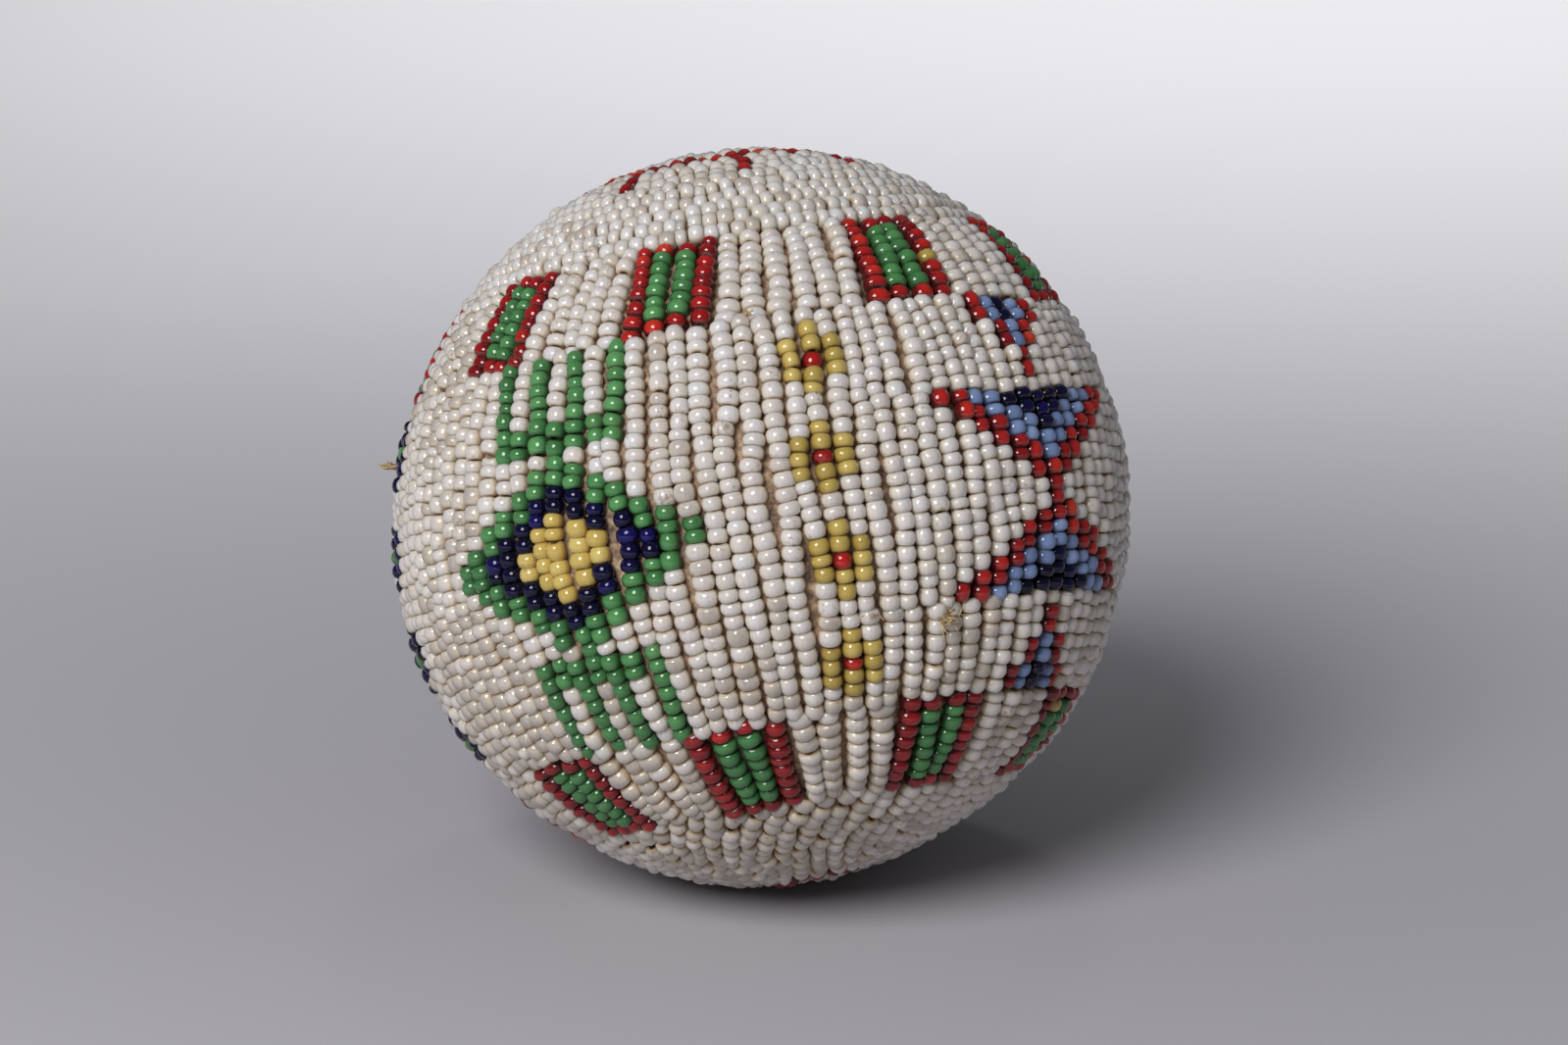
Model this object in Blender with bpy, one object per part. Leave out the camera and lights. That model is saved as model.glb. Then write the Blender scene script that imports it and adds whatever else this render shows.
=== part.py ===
"""A beaded ball: a stuffed hide ball, sewn all over with lanes of glass seed beads.

The ball stands on a small flat spot at the world's origin, +Z up, and is seen from -Y.
Its bead columns run from pole to pole, and the pole line leans left and back.
"""

import math

import bmesh
import bpy
from mathutils import Matrix, Vector

# Driving dimensions, in metres
BALL_RADIUS = 0.0380
BEAD_DEPTH = 0.00175  # how far a lane's beads stand over the hide
GAP = 0.0003
HIDE_GAP = 0.00035
FLAT_RADIUS = 0.0055

# How the pole line leans, in degrees
LEAN_LEFT = 8.9
LEAN_BACK = 20.3

# A lane is a round of bead columns. It arches over its middle and dives into the hide at its ends.
LANE_DIVE = 0.0006
LANE_ARCH = (-1.0, -0.93, -0.75, -0.4, 0.0, 0.4, 0.75, 0.93, 1.0)
CAP_STEP = 4.0

# The first lane below the upper boxes starts at this latitude, in degrees
FIRST_LATITUDE = 25.7

# Lanes from the top down: name, beads in a column, one bead's length, main colour
LANES = (
    ("lane_1", 7, 0.001485, "white"),
    ("lane_2", 7, 0.001485, "white"),
    ("lane_3", 7, 0.001485, "white"),
    ("lane_4", 7, 0.001485, "white"),
    ("lower_box_lane", 8, 0.00140, "red"),
)
UPPER_LANE = ("upper_box_lane", 8, 0.00143, "red")

# Where the stuffed ball is fuller or flatter: latitude, longitude, height, spread in degrees
LUMPS = (
    (-66.0, 85.0, -0.0008, 24.0),
    (-24.0, 90.0, -0.0004, 14.0),
    (-20.0, -88.0, 0.0005, 20.0),
    (48.0, 88.0, 0.0003, 25.0),
    (38.0, -90.0, -0.0004, 22.0),
    (8.0, 178.0, -0.0004, 30.0),
)

ROUND_STEPS = 48
HIDE_RINGS = 24

# Material colours, roughness and metallic value
FINISHES = {
    "white": ((0.71, 0.67, 0.60, 1.0), 0.22, 0.0),
    "red": ((0.40, 0.02, 0.02, 1.0), 0.18, 0.0),
    "hide": ((0.47, 0.31, 0.18, 1.0), 0.85, 0.0),
}

POLE_TILT = (
    Matrix.Rotation(-math.radians(LEAN_BACK), 4, "X")
    @ Matrix.Rotation(-math.radians(LEAN_LEFT), 4, "Y")
)
CENTRE = Vector((0.0, 0.0, math.sqrt(BALL_RADIUS**2 - FLAT_RADIUS**2)))


def direction(latitude, longitude):
    """A unit vector on the ball, its poles on Z, longitude 0 at the front and growing to the right."""
    lat = math.radians(latitude)
    lon = math.radians(longitude)
    return Vector((math.cos(lat) * math.sin(lon), -math.cos(lat) * math.cos(lon), math.sin(lat)))


def unevenness(towards):
    """How far the stuffed ball stands out of true in this direction."""
    total = 0.0
    for latitude, longitude, height, spread in LUMPS:
        angle = math.degrees(direction(latitude, longitude).angle(towards))
        total += height * math.exp(-((angle / spread) ** 2))
    return total


def clear_scene():
    for thing in list(bpy.data.objects):
        bpy.data.objects.remove(thing, do_unlink=True)


def finish(name, kind):
    colour, roughness, metallic = FINISHES[kind]
    material = bpy.data.materials.new(name)
    material.use_nodes = True
    shader = material.node_tree.nodes["Principled BSDF"]
    shader.inputs["Base Color"].default_value = colour
    shader.inputs["Roughness"].default_value = roughness
    shader.inputs["Metallic"].default_value = metallic
    return material


def shape_and_place(bm, name, kind, collection):
    """Gives a turned shape the ball's unevenness, and stands it on its tilted pole line."""
    for vert in bm.verts:
        reach = vert.co.length
        vert.co += vert.co.normalized() * unevenness(vert.co) * (reach / BALL_RADIUS)
    mesh = bpy.data.meshes.new(name)
    bm.to_mesh(mesh)
    bm.free()
    mesh.shade_smooth()
    mesh.set_sharp_from_angle(angle=math.radians(35.0))
    mesh.materials.append(finish(name, kind))
    thing = bpy.data.objects.new(name, mesh)
    thing.matrix_world = Matrix.Translation(CENTRE) @ POLE_TILT
    collection.objects.link(thing)
    return thing


def turned(outline):
    """The closed solid that an outline of (radius, latitude) makes when it goes once round the poles."""
    bm = bmesh.new()
    verts = [bm.verts.new(radius * direction(latitude, 0.0)) for radius, latitude in outline]
    edges = [bm.edges.new((a, b)) for a, b in zip(verts, verts[1:])]
    if abs(outline[0][1]) < 90.0:
        edges.append(bm.edges.new((verts[-1], verts[0])))
    bmesh.ops.spin(
        bm,
        geom=verts + edges,
        cent=(0.0, 0.0, 0.0),
        axis=(0.0, 0.0, 1.0),
        angle=math.tau,
        steps=ROUND_STEPS,
        use_merge=True,
    )
    bmesh.ops.remove_doubles(bm, verts=bm.verts, dist=1e-6)
    bmesh.ops.recalc_face_normals(bm, faces=bm.faces)
    return bm


def lane_height(beads, bead_length):
    """The latitude that a column of beads covers."""
    return math.degrees(beads * bead_length / BALL_RADIUS)


def lane_outline(top, bottom):
    """Outer arch from top to bottom, then back up along the hide."""
    inset = math.degrees(GAP / 2 / BALL_RADIUS)
    middle = (top + bottom) / 2
    half = (top - bottom) / 2 - inset
    inner = BALL_RADIUS - BEAD_DEPTH
    arch = [(BALL_RADIUS - LANE_DIVE * share**4, middle - half * share) for share in LANE_ARCH]
    floor = [(inner, middle - half * share) for share in (1.0, 0.5, 0.0, -0.5, -1.0)]
    return arch + floor


def cap_outline(edge, pole):
    """Outer dome from the pole to the cap's edge, then back up along the hide to the pole."""
    side = 1.0 if pole > 0 else -1.0
    inset = math.degrees(GAP / 2 / BALL_RADIUS)
    reach = 90.0 - abs(edge) - inset
    steps = max(2, round(reach / CAP_STEP))
    lats = [side * (90.0 - reach * i / steps) for i in range(steps + 1)]
    inner = BALL_RADIUS - BEAD_DEPTH
    dome = [(BALL_RADIUS, lat) for lat in lats[:-1]]
    rim = [(BALL_RADIUS - LANE_DIVE * 0.35, lats[-1] + side * 0.5), (BALL_RADIUS - LANE_DIVE, lats[-1])]
    floor = [(inner, lat) for lat in reversed(lats)]
    return dome + rim + floor


def cut_flat_spot(bm):
    """Cuts the spot that the ball rests on, level with the floor."""
    to_ball = (Matrix.Translation(CENTRE) @ POLE_TILT).inverted()
    floor_point = to_ball @ Vector((0.0, 0.0, 0.0))
    floor_normal = to_ball.to_3x3() @ Vector((0.0, 0.0, -1.0))
    everything = bm.verts[:] + bm.edges[:] + bm.faces[:]
    cut = bmesh.ops.bisect_plane(
        bm,
        geom=everything,
        plane_co=floor_point,
        plane_no=floor_normal,
        clear_outer=True,
    )
    rim = [item for item in cut["geom_cut"] if isinstance(item, bmesh.types.BMEdge)]
    bmesh.ops.contextual_create(bm, geom=rim)
    bmesh.ops.recalc_face_normals(bm, faces=bm.faces)


def build_hide_ball(collection):
    """The stuffed hide ball that carries every bead."""
    radius = BALL_RADIUS - BEAD_DEPTH - HIDE_GAP
    outline = [(radius, 90.0 - 180.0 * i / HIDE_RINGS) for i in range(HIDE_RINGS + 1)]
    shape_and_place(turned(outline), "hide_ball", "hide", collection)


def build_lanes(collection):
    """The bead lanes round the middle, from the upper boxes to the lower ones, and the two caps."""
    name, beads, length, kind = UPPER_LANE
    cap_edge = FIRST_LATITUDE + lane_height(beads, length)
    shape_and_place(turned(lane_outline(cap_edge, FIRST_LATITUDE)), name, kind, collection)

    top = FIRST_LATITUDE
    for name, beads, length, kind in LANES:
        bottom = top - lane_height(beads, length)
        shape_and_place(turned(lane_outline(top, bottom)), name, kind, collection)
        top = bottom

    shape_and_place(turned(cap_outline(cap_edge, 90.0)), "north_cap", "white", collection)
    build_south_cap(top, collection)


def build_south_cap(edge, collection):
    """The lower cap, with the flat spot that the ball rests on."""
    thing = shape_and_place(turned(cap_outline(edge, -90.0)), "south_cap", "white", collection)
    bm = bmesh.new()
    bm.from_mesh(thing.data)
    cut_flat_spot(bm)
    bm.to_mesh(thing.data)
    bm.free()


def build_ball():
    clear_scene()
    collection = bpy.data.collections.new("beaded_ball")
    bpy.context.scene.collection.children.link(collection)
    build_hide_ball(collection)
    build_lanes(collection)


build_ball()
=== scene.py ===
import math

import bpy
import numpy as np
from mathutils import Matrix, Vector, noise


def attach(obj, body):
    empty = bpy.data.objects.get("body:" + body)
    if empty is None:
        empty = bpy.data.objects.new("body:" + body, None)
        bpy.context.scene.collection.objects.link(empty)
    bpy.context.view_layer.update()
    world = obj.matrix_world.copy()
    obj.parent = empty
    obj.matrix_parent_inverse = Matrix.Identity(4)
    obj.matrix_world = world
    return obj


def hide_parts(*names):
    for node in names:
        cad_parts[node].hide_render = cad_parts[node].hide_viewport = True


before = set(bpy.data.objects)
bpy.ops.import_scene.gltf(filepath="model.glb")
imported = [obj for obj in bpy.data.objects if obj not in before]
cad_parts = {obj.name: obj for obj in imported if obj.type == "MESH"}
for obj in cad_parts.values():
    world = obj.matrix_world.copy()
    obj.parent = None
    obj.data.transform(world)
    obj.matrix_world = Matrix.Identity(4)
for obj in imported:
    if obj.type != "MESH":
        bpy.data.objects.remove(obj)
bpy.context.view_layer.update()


# The stuffed hide ball
# A round cover of tanned buckskin drawn tight over a hard stuffing. Every bead is sewn down to it, and it
# shows as tan slits between the bead columns. The stitching draws it in between one lane and the next.
BALL_RADIUS = 0.0380
FLAT_RADIUS = 0.0055
HIDE_RADIUS = 0.03635
HIDE_RINGS, HIDE_STEPS = 84, 144
HIDE_OFF_FLOOR = 0.0002
LEAN_LEFT, LEAN_BACK = 8.9, 20.3

# Latitudes of the stitching rounds, from the upper cap's edge to the lower cap's
STITCH_ROUNDS = (42.93, 25.70, 10.03, -5.65, -21.32, -36.99, -53.88)

# How deep and over how many degrees a round pulls the hide in, and how high and how close its folds are
PUCKER_DEPTH, PUCKER_SPREAD = 0.00045, 1.1
FOLD_HEIGHT, FOLD_SCALE = 0.00022, 14.0

# Where the stuffed ball is fuller or flatter: latitude, longitude, height, spread in degrees
LUMPS = (
    (-66.0, 85.0, -0.0008, 24.0),
    (-24.0, 90.0, -0.0004, 14.0),
    (-20.0, -88.0, 0.0005, 20.0),
    (48.0, 88.0, 0.0003, 25.0),
    (38.0, -90.0, -0.0004, 22.0),
    (8.0, 178.0, -0.0004, 30.0),
)

# Hide colours from its dirty places to its clean ones: place in the blotches, colour
HIDE_TONES = ((0.34, (0.09, 0.06, 0.05)), (0.50, (0.29, 0.19, 0.12)), (0.66, (0.58, 0.41, 0.26)))

POLE_TILT = np.array(
    Matrix.Rotation(-math.radians(LEAN_BACK), 3, "X") @ Matrix.Rotation(-math.radians(LEAN_LEFT), 3, "Y")
)
CENTRE = np.array((0.0, 0.0, math.sqrt(BALL_RADIUS**2 - FLAT_RADIUS**2)))


def direction(latitude, longitude):
    """Unit vectors out of the ball: poles on Z, longitude 0 at the front and growing to the right."""
    lat, lon = np.radians(latitude), np.radians(longitude)
    x, y = np.cos(lat) * np.sin(lon), -np.cos(lat) * np.cos(lon)
    return np.stack(np.broadcast_arrays(x, y, np.sin(lat)), -1)


def swell(outward, spots):
    """The sum of soft-edged spots in these directions. A spot is (latitude, longitude, amount, spread)."""
    total = np.zeros(outward.shape[:-1])
    for latitude, longitude, amount, spread in spots:
        cosine = np.clip(outward @ direction(latitude, longitude), -1.0, 1.0)
        total += amount * np.exp(-((np.degrees(np.arccos(cosine)) / spread) ** 2))
    return total


def unevenness(outward):
    """How far the stuffed ball stands out of true in these directions."""
    return swell(outward, LUMPS)


def stand(points):
    """Tilts points about the ball's middle and stands the ball on the floor."""
    return points @ POLE_TILT.T + CENTRE


def nodes_of(name):
    """A new material: its nodes, a function that links them, and its main shader."""
    material = bpy.data.materials.new(name)
    material.use_nodes = True
    tree = material.node_tree
    return material, tree.nodes, tree.links.new, tree.nodes["Principled BSDF"]


def ramp(nodes, stops):
    """A colour ramp from (place, colour) stops."""
    made = nodes.new("ShaderNodeValToRGB")
    elements = made.color_ramp.elements
    while len(elements) < len(stops):
        elements.new(0.5)
    for element, (place, colour) in zip(elements, stops):
        element.position = place
        element.color = (*colour, 1.0)
    return made


def buckskin():
    """Napped hide in blotches of tan and dirt."""
    material, nodes, link, shader = nodes_of("buckskin")
    place = nodes.new("ShaderNodeTexCoord")
    blotches = nodes.new("ShaderNodeTexNoise")
    blotches.inputs["Scale"].default_value = 1300.0
    blotches.inputs["Detail"].default_value = 6.0
    blotches.inputs["Roughness"].default_value = 0.65
    tan = ramp(nodes, HIDE_TONES)
    nap = nodes.new("ShaderNodeTexNoise")
    nap.inputs["Scale"].default_value = 2600.0
    nap.inputs["Detail"].default_value = 4.0
    relief = nodes.new("ShaderNodeBump")
    relief.inputs["Strength"].default_value = 0.5
    relief.inputs["Distance"].default_value = 0.0002
    for texture in (blotches, nap):
        link(place.outputs["Object"], texture.inputs["Vector"])
    link(blotches.outputs["Fac"], tan.inputs["Fac"])
    link(tan.outputs["Color"], shader.inputs["Base Color"])
    link(nap.outputs["Fac"], relief.inputs["Height"])
    link(relief.outputs["Normal"], shader.inputs["Normal"])
    shader.inputs["Roughness"].default_value = 0.85
    shader.inputs["Sheen Weight"].default_value = 0.15
    return material


def stuffed_hide():
    latitude = 90.0 - 180.0 * np.arange(1, HIDE_RINGS) / HIDE_RINGS
    longitude = 360.0 * np.arange(HIDE_STEPS) / HIDE_STEPS
    rings = direction(latitude[:, None], longitude[None, :]).reshape(-1, 3)
    outward = np.concatenate((direction(90.0, 0.0)[None], rings, direction(-90.0, 0.0)[None]))
    at = np.degrees(np.arcsin(np.clip(outward[:, 2], -1.0, 1.0)))
    drawn_in = sum(np.exp(-(((at - stitches) / PUCKER_SPREAD) ** 2)) for stitches in STITCH_ROUNDS)
    folds = np.array([noise.noise(Vector(way) * FOLD_SCALE) for way in outward])
    reach = HIDE_RADIUS - PUCKER_DEPTH * drawn_in + FOLD_HEIGHT * folds + unevenness(outward)
    points = stand(outward * reach[:, None])
    points[:, 2] = np.maximum(points[:, 2], HIDE_OFF_FLOOR)

    last = len(points) - 1
    faces = []
    for ring in range(HIDE_RINGS - 2):
        for step in range(HIDE_STEPS):
            a = 1 + ring * HIDE_STEPS + step
            b = 1 + ring * HIDE_STEPS + (step + 1) % HIDE_STEPS
            faces.append((a, a + HIDE_STEPS, b + HIDE_STEPS, b))
    for step in range(HIDE_STEPS):
        after = (step + 1) % HIDE_STEPS
        faces.append((0, 1 + step, 1 + after))
        faces.append((last, last - HIDE_STEPS + after, last - HIDE_STEPS + step))

    mesh = bpy.data.meshes.new("stuffed_hide")
    mesh.from_pydata(points.tolist(), [], faces)
    mesh.shade_smooth()
    mesh.materials.append(buckskin())
    hide = bpy.data.objects.new("stuffed_hide", mesh)
    bpy.context.scene.collection.objects.link(hide)
    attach(hide, "root")
    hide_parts("hide_ball")


stuffed_hide()


# The upper cap of beads
# White glass beads strung on a thread that goes round and round the pole and is caught down every few
# beads, with a red ring and eight red rays. The beads are cut from drawn tube, so no two are quite alike.
BEAD_WIDTH, BEAD_LENGTH = 0.00217, 0.00148
# How much beads differ, as shares
WIDTH_SPREAD, LENGTH_SPREAD = 0.05, 0.11

# Rounds from the edge to the pole; the ring is one of them, and the rays cross the ones before it
CAP_ROUNDS = 15
RING_ROUND, RAY_ROUNDS = 9, (6, 7, 8)
RAYS, FIRST_RAY = 8, 13.3

# Half of a round bead's section, from its bore to its belly: share of its half width, of its half length
ROUND_SECTION = ((0.34, 1.00), (0.70, 0.90), (0.92, 0.55), (1.00, 0.18))
# Places round a bead, in degrees: closer together on its outer side, which is at 90
BEAD_TURNS = (0, 30, 60, 90, 120, 150, 180, 225, 270, 315)
# How far in from its belly a bead counts wholly as bore, in half widths
BELLY_TO_BORE = 0.45

# How the rounds stray: waves in a round, their height and each bead's slip in bead widths, its step along
# the round and its twist in degrees, its lift in metres
ROUND_WAVES, ROUND_SWAY, ROUND_SLIP = 5.0, 0.07, 0.05
ROUND_STEP, ROUND_TWIST, ROUND_LIFT = 0.1, 5.0, 0.00009
# How far its beads press into each other, as a share, and how soiled they are at least and by how much more
ROUND_OVERLAP = 1.05
ROUND_SOIL_LEAST, ROUND_SOIL_MORE = 0.05, 0.5


def bead_form(section):
    """One bead: its points, its faces, how near to the bore and how deep below its crown each point is."""
    outline = list(section) + [(across, -along) for across, along in reversed(section)]
    turns = np.radians(BEAD_TURNS)
    points = []
    for across, along in outline:
        points += [(across * np.cos(turn), across * np.sin(turn), along) for turn in turns]
    points = np.array(points)
    rings, sides = len(outline), len(turns)
    near_bore = np.repeat([min(1.0, (1.0 - across) / BELLY_TO_BORE) for across, along in outline], sides)
    faces = []
    for ring in range(rings):
        below = (ring + 1) % rings
        for side in range(sides):
            after = (side + 1) % sides
            a, b = ring * sides + side, ring * sides + after
            faces.append((a, below * sides + side, below * sides + after, b))
    return points, np.array(faces), near_bore, 1.0 - points[:, 1]


ROUND_BEAD = bead_form(ROUND_SECTION)


def lay_round(latitude, count, width, chance):
    """Lays one round of beads that are strung side by side round the pole."""
    length = chance.normal(1.0, LENGTH_SPREAD, count)
    share = np.cumsum(length) / length.sum()
    lon = (share - share[0] / 2.0 + chance.random()) * 360.0 + chance.normal(0.0, ROUND_STEP, count)
    sway = ROUND_SWAY * np.sin(np.radians(ROUND_WAVES * lon)) + chance.normal(0.0, ROUND_SLIP, count)
    lat = latitude + np.degrees(width / BALL_RADIUS) * sway
    radius = BALL_RADIUS - width / 2.0
    size = width * chance.normal(1.0, WIDTH_SPREAD, count) / 2.0
    half_length = length / length.sum() * math.pi * radius * np.cos(np.radians(lat)) * ROUND_OVERLAP
    out = direction(lat, lon)
    east = direction(np.zeros(count), lon + 90.0)
    south = np.cross(east, out)
    middle_at = out * (radius + chance.normal(0.0, ROUND_LIFT, count) + unevenness(out))[:, None]
    turn, tilt = np.radians(chance.normal(0.0, ROUND_TWIST, (2, count, 1)))
    east, south = east * np.cos(turn) - south * np.sin(turn), south * np.cos(turn) + east * np.sin(turn)
    out, east = out * np.cos(tilt) + east * np.sin(tilt), east * np.cos(tilt) - out * np.sin(tilt)
    return {
        "form": ROUND_BEAD,
        "middle": middle_at,
        "axes": np.stack((south, out, east), axis=-2),
        "half": np.stack((size, size, half_length), axis=-1),
        "longitude": lon,
        "shade": chance.random(count),
        "soil": ROUND_SOIL_MORE * chance.random(count) + ROUND_SOIL_LEAST,
    }


def string_beads(name, material, node, lanes):
    """Makes one piece of all these beads. lanes is [(laid beads, which of them)]."""
    form, faces, near_bore, depth = lanes[0][0]["form"]
    keys = ("middle", "axes", "half", "shade", "soil")
    parts = {key: np.concatenate([beads[key][picked] for beads, picked in lanes]) for key in keys}
    reach = parts["half"][:, None, :] * form[None]
    points = stand(parts["middle"][:, None, :] + np.einsum("bpk,bkx->bpx", reach, parts["axes"]))
    points[:, :, 2] += np.maximum(0.0, -points[:, :, 2].min(axis=1))[:, None]
    count = len(points)
    all_faces = faces[None] + (np.arange(count) * len(form))[:, None, None]

    mesh = bpy.data.meshes.new(name)
    mesh.from_pydata(points.reshape(-1, 3).tolist(), [], all_faces.reshape(-1, 4).tolist())
    mesh.shade_smooth()
    # The soil attribute holds each bead's dirt, with painted shade added in the worn places at the bottom
    # and upper left
    for key, values in (
        ("bead_shade", np.repeat(parts["shade"], len(form))),
        ("bead_soil_and_painted_shade", np.repeat(parts["soil"], len(form))),
        ("bead_bore", np.tile(near_bore, count)),
        ("bead_depth", np.tile(depth, count)),
    ):
        mesh.attributes.new(key, "FLOAT", "POINT").data.foreach_set("value", values.astype(np.float32))
    mesh.materials.append(material)
    piece = bpy.data.objects.new(name, mesh)
    bpy.context.scene.collection.objects.link(piece)
    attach(piece, "root")
    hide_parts(node)


# Where a bead's colouring begins and where it is full: below its crown for the painted shade and glow at
# its edges and the dirt in the joints, nearness to the bore for the core and the dirt in it, and the sum of
# two textures for the specks
EDGE_PAINTED_LIGHT_SPAN, JOINT_SPAN = (0.04, 0.60), (0.55, 1.15)
CORE_SPAN, BORE_SPAN = (0.85, 1.0), (0.45, 1.0)
SPECK_SPAN, SPECK_SHARE, SPECK_BROWN = (1.20, 1.36), 0.75, (0.19, 0.13, 0.08)
DIRTY_ROUGHNESS = 0.65

# Textures: scale, detail
DIRT_CLOUDS, FINE_SPECKS = (900.0, 4.0), (2600.0, 4.0)
SPECKED_PATCHES, RIPPLES = (260.0, 2.0), (420.0, 0.0)


def bead_glass(name, shades, edge, edge_painted_light, soil, soiling, roughness, glow=0.0, core=None, shine=0.50):
    """Glass whose shade changes from bead to bead, with dirt in its joints.

    Each bead goes towards the edge colour at its edges, by the strength given after it: painted shade at
    the rims of coloured glass and a painted warm glow at the rims of white. It takes the soil colour in its
    joints and its bore, as far as soiling says. A core is another colour round the bore.
    """
    material, nodes, link, shader = nodes_of(name)
    place = nodes.new("ShaderNodeTexCoord")

    def kept(attribute):
        made = nodes.new("ShaderNodeAttribute")
        made.attribute_name = attribute
        return made.outputs["Fac"]

    def clouds(scale, detail):
        made = nodes.new("ShaderNodeTexNoise")
        made.inputs["Scale"].default_value = scale
        made.inputs["Detail"].default_value = detail
        link(place.outputs["Object"], made.inputs["Vector"])
        return made.outputs["Fac"]

    def spread(source, span, at_low, at_high):
        made = nodes.new("ShaderNodeMapRange")
        sockets = ("From Min", "From Max", "To Min", "To Max")
        for socket, value in zip(sockets, (*span, at_low, at_high)):
            made.inputs[socket].default_value = value
        link(source, made.inputs["Value"])
        return made.outputs["Result"]

    def joined(operation, first, second):
        made = nodes.new("ShaderNodeMath")
        made.operation = operation
        made.use_clamp = operation != "ADD"
        link(first, made.inputs[0])
        link(second, made.inputs[1])
        return made.outputs["Value"]

    def over(under, colour, amount):
        made = nodes.new("ShaderNodeMix")
        made.data_type = "RGBA"
        made.inputs["B"].default_value = (*colour, 1.0)
        link(under, made.inputs["A"])
        link(amount, made.inputs["Factor"])
        return made.outputs["Result"]

    bore, depth = kept("bead_bore"), kept("bead_depth")
    tint = ramp(nodes, shades)
    link(kept("bead_shade"), tint.inputs["Fac"])
    # The edge colour is painted light: painted shade at the rims of coloured glass, a painted warm glow on
    # white
    colour = over(tint.outputs["Color"], edge, spread(depth, EDGE_PAINTED_LIGHT_SPAN, 0.0, edge_painted_light))
    if core:
        colour = over(colour, core, spread(bore, CORE_SPAN, 0.0, 1.0))
    in_bore, in_joints = spread(bore, BORE_SPAN, 0.0, soiling), spread(depth, JOINT_SPAN, 0.0, soiling)
    lodged = joined("MAXIMUM", in_bore, in_joints)
    lodged = joined("MULTIPLY", lodged, joined("ADD", clouds(*DIRT_CLOUDS), kept("bead_soil_and_painted_shade")))
    specks = joined("ADD", clouds(*FINE_SPECKS), clouds(*SPECKED_PATCHES))
    specks = spread(specks, SPECK_SPAN, 0.0, SPECK_SHARE * soiling)
    colour = over(over(colour, soil, lodged), SPECK_BROWN, specks)
    link(colour, shader.inputs["Base Color"])

    dull = spread(joined("MAXIMUM", lodged, specks), (0.0, 1.0), roughness, DIRTY_ROUGHNESS)
    link(dull, shader.inputs["Roughness"])
    ripple = nodes.new("ShaderNodeBump")
    ripple.inputs["Strength"].default_value = 0.25
    ripple.inputs["Distance"].default_value = 0.0001
    link(clouds(*RIPPLES), ripple.inputs["Height"])
    link(ripple.outputs["Normal"], shader.inputs["Normal"])
    shader.inputs["IOR"].default_value = 1.58
    shader.inputs["Specular IOR Level"].default_value = shine
    if glow:
        shader.inputs["Subsurface Weight"].default_value = glow
        shader.inputs["Subsurface Radius"].default_value = (1.0, 0.85, 0.70)
        shader.inputs["Subsurface Scale"].default_value = 0.0015
    return material


# Shades of a glass from its darkest beads to its palest: place among them, colour. The darkest white is
# reached mostly in the worn places, so there it is partly painted shade
WHITE_SHADES = (
    (0.00, (0.42, 0.38, 0.35)),
    (0.16, (0.61, 0.56, 0.535)),
    (0.60, (0.655, 0.61, 0.60)),
    (0.95, (0.70, 0.67, 0.68)),
)
RED_SHADES = (
    (0.00, (0.23, 0.004, 0.006)),
    (0.40, (0.38, 0.010, 0.010)),
    (0.75, (0.55, 0.020, 0.012)),
    (1.00, (0.70, 0.075, 0.028)),
)

# Each colour's slot and its glass
GLASS = {}
# The edge colours are painted light: a warm painted glow at the rims of the white beads, painted shade at
# the rims of the red
GLASS["white"] = "white_beads", bead_glass(
    "white_glass",
    WHITE_SHADES,
    edge=(0.80, 0.69, 0.545),
    edge_painted_light=0.55,
    soil=(0.52, 0.375, 0.235),
    soiling=0.80,
    roughness=0.08,
    glow=1.0,
)
GLASS["red"] = "red_beads", bead_glass(
    "red_glass",
    RED_SHADES,
    edge=(0.055, 0.002, 0.004),
    edge_painted_light=0.90,
    soil=(0.12, 0.04, 0.03),
    soiling=0.55,
    roughness=0.06,
    glow=0.35,
    core=(0.62, 0.46, 0.38),
)


def sew_lane(node, lanes, charts):
    """Strings the beads of a lane or a cap, one piece for each colour that its charts name."""
    for colour in sorted(set(np.concatenate([chart.ravel() for chart in charts]))):
        slot, material = GLASS[colour]
        picked = [(beads, chart == colour) for beads, chart in zip(lanes, charts)]
        string_beads(f"{node}_{colour}", material, node, picked)


def upper_cap():
    chance = np.random.default_rng(seed=11)
    height = (90.0 - STITCH_ROUNDS[0]) / CAP_ROUNDS
    rounds, charts = [], []
    for number in range(CAP_ROUNDS):
        latitude = STITCH_ROUNDS[0] + height * (number + 0.5)
        count = max(3, round(math.tau * BALL_RADIUS * math.cos(math.radians(latitude)) / BEAD_LENGTH))
        beads = lay_round(latitude, count, math.radians(height) * BALL_RADIUS, chance)
        chart = np.full(count, "red" if number == RING_ROUND else "white", dtype="U5")
        if number in RAY_ROUNDS:
            for ray in range(RAYS):
                off_ray = (beads["longitude"] - FIRST_RAY - 360.0 * ray / RAYS + 180.0) % 360.0 - 180.0
                chart[np.argmin(abs(off_ray))] = "red"
        rounds.append(beads)
        charts.append(chart)
    sew_lane("north_cap", rounds, charts)


upper_cap()


# The upper box lane
# Columns of eight beads on one thread each, sewn down at both ends, with red boxes filled with green. The
# beads are barrels, wider than in the cap, and lie looser at the lower edge, where the ball is fuller.
BARREL_SECTION = ((0.36, 0.98), (0.61, 1.00), (0.87, 0.74), (1.00, 0.24))
BARREL_BEAD = bead_form(BARREL_SECTION)
BOX_BEAD_WIDTH = 0.00222

# How much columns differ in width and beads in depth, as shares
COLUMN_SPREAD, DEPTH_SPREAD = 0.042, 0.02
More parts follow.
